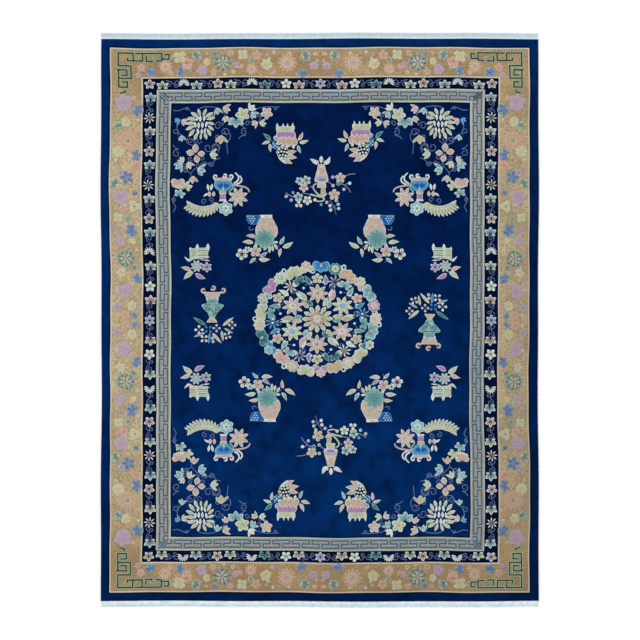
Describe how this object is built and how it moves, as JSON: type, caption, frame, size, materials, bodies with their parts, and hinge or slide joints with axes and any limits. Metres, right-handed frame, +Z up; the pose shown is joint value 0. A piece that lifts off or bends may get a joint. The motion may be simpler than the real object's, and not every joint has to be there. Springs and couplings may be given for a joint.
{
  "type": "chinese art deco rug",
  "caption": "Room-size hand-knotted wool pile rug with framed floral borders, a flowered navy field and a combed cotton fringe at each end, lying flat.",
  "frame": {"origin": "centre of the rug's underside, on the floor", "axes": "+Y along the rug's long way, +X across its width, +Z up out of the pile"},
  "size_m": [2.74, 3.5984, 0.013],
  "materials": {
    "wool_pile": "matt cut wool pile",
    "fringe_cotton": "matt combed cotton"
  },
  "bodies": {
    "root": {"rug_body": "wool_pile", "fringe_top": "fringe_cotton", "fringe_bottom": "fringe_cotton"}
  },
  "joints": []
}
